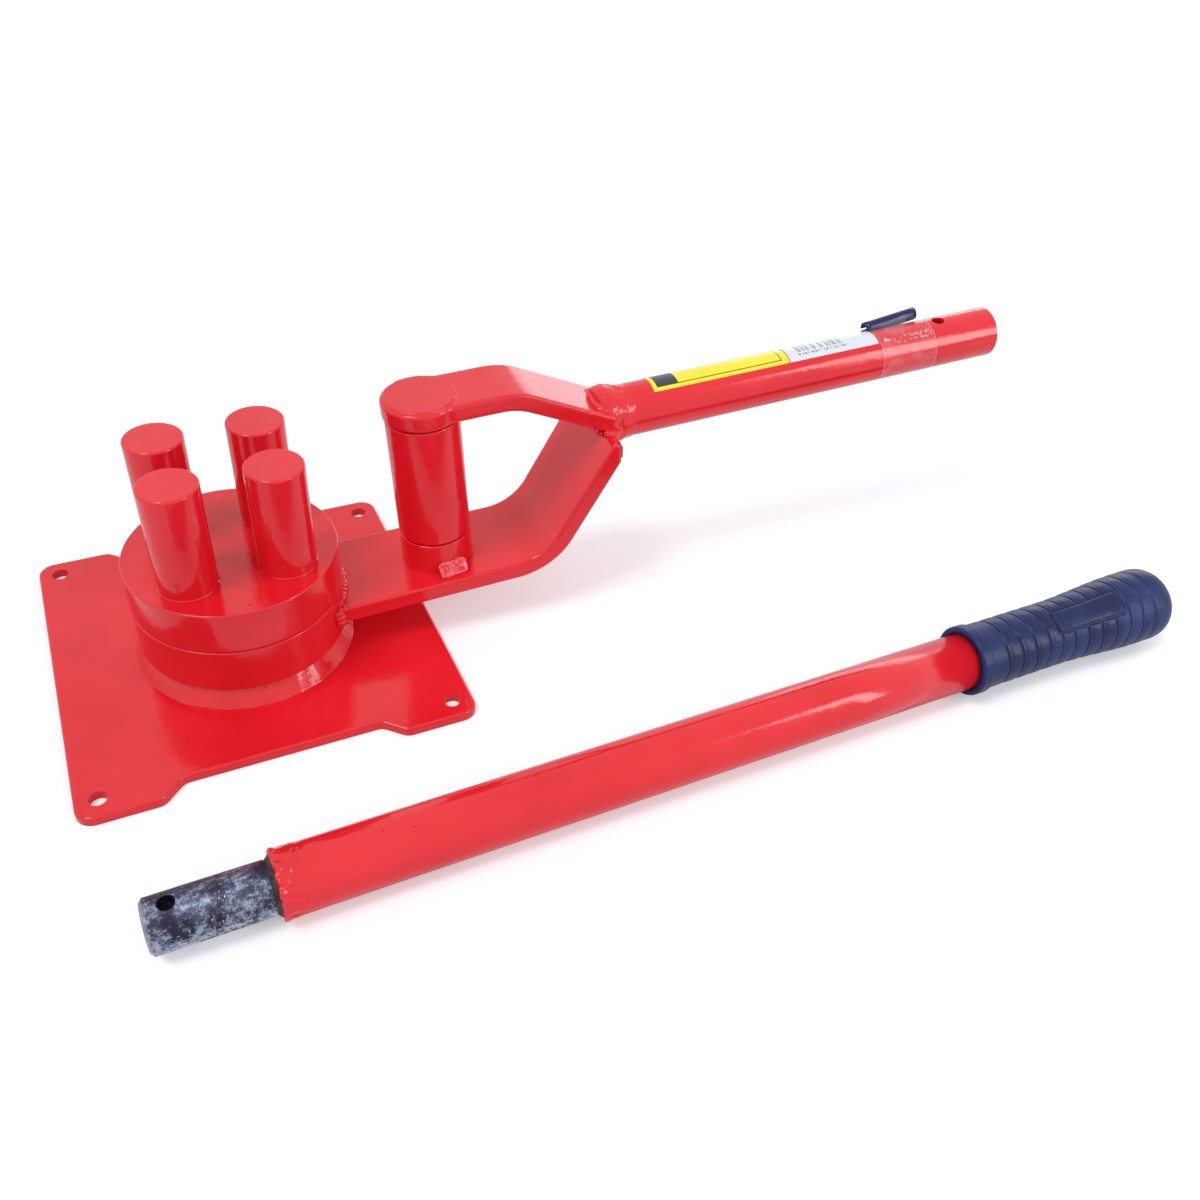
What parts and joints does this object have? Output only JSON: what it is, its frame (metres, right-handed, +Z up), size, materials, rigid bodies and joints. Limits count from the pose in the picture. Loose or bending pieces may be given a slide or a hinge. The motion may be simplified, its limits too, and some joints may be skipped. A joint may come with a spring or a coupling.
{
  "type": "rod bender",
  "caption": "Hand rod bender: bolted base with a four-pin drum, swinging forked arm with roller, and a loose extension lever with a rubber grip.",
  "frame": {"origin": "hub axis at the underside of the base plate", "axes": "+Z up along the hub axis, +X towards the arm's free end, +Y away from the loose lever"},
  "size_m": [0.6093, 0.307, 0.1439],
  "materials": {
    "red_enamel": "glossy red enamel",
    "bare_steel": "turned steel, oiled",
    "mill_steel": "dark mill scale with pale speckle",
    "blued_steel": "blued spring steel",
    "bronze": "sintered bronze",
    "grip_rubber": "moulded blue-black rubber",
    "yellow_label": "printed film with a border",
    "white_label": "plain printed film",
    "clear_film": "clear adhesive tape"
  },
  "bodies": {
    "base": {"base_plate": "red_enamel", "post_weld": "red_enamel", "base_flange": "red_enamel", "flange_weld": "red_enamel", "centre_post": "bare_steel", "top_disc": "red_enamel", "bend_pin_front_left": "red_enamel", "bend_pin_front_right": "red_enamel", "bend_pin_back_left": "red_enamel", "bend_pin_back_right": "red_enamel", "ring_washer_lower": "bare_steel"},
    "arm": {"swing_ring": "red_enamel", "ring_bush": "bronze", "ring_washer_upper": "bare_steel", "ring_weld": "red_enamel", "lower_fork_bar": "red_enamel", "upper_fork_bar": "red_enamel", "fork_weld": "red_enamel", "arm_tube": "red_enamel", "tube_weld": "red_enamel", "label_long": "yellow_label", "label_short": "white_label", "clear_tape": "clear_film", "lock_pin": "blued_steel", "roller_collar": "red_enamel", "collar_patch": "red_enamel", "roller_axle": "bare_steel", "axle_head": "red_enamel", "roller_washer_lower": "bare_steel", "roller_washer_upper": "bare_steel"},
    "roller": {"roller_sleeve": "red_enamel", "roller_bush": "bronze"},
    "lever": {"lever_tube": "red_enamel", "lever_spigot": "mill_steel", "spigot_weld": "mill_steel", "rubber_grip": "grip_rubber"}
  },
  "joints": [
    {"name": "arm_swing", "type": "hinge", "parent": "base", "child": "arm", "pos_m": [0, 0, 0.03], "axis": [0, 0, 1], "continuous": true},
    {"name": "roller_spin", "type": "hinge", "parent": "arm", "child": "roller", "pos_m": [0.10929, -0.00466, 0.08809], "axis": [-0.0601, 0.0026, 0.9982], "continuous": true},
    {"name": "lever_lift", "type": "slide", "parent": "base", "child": "lever", "axis": [0, 0, 1], "range_m": [0, 0.25]}
  ]
}
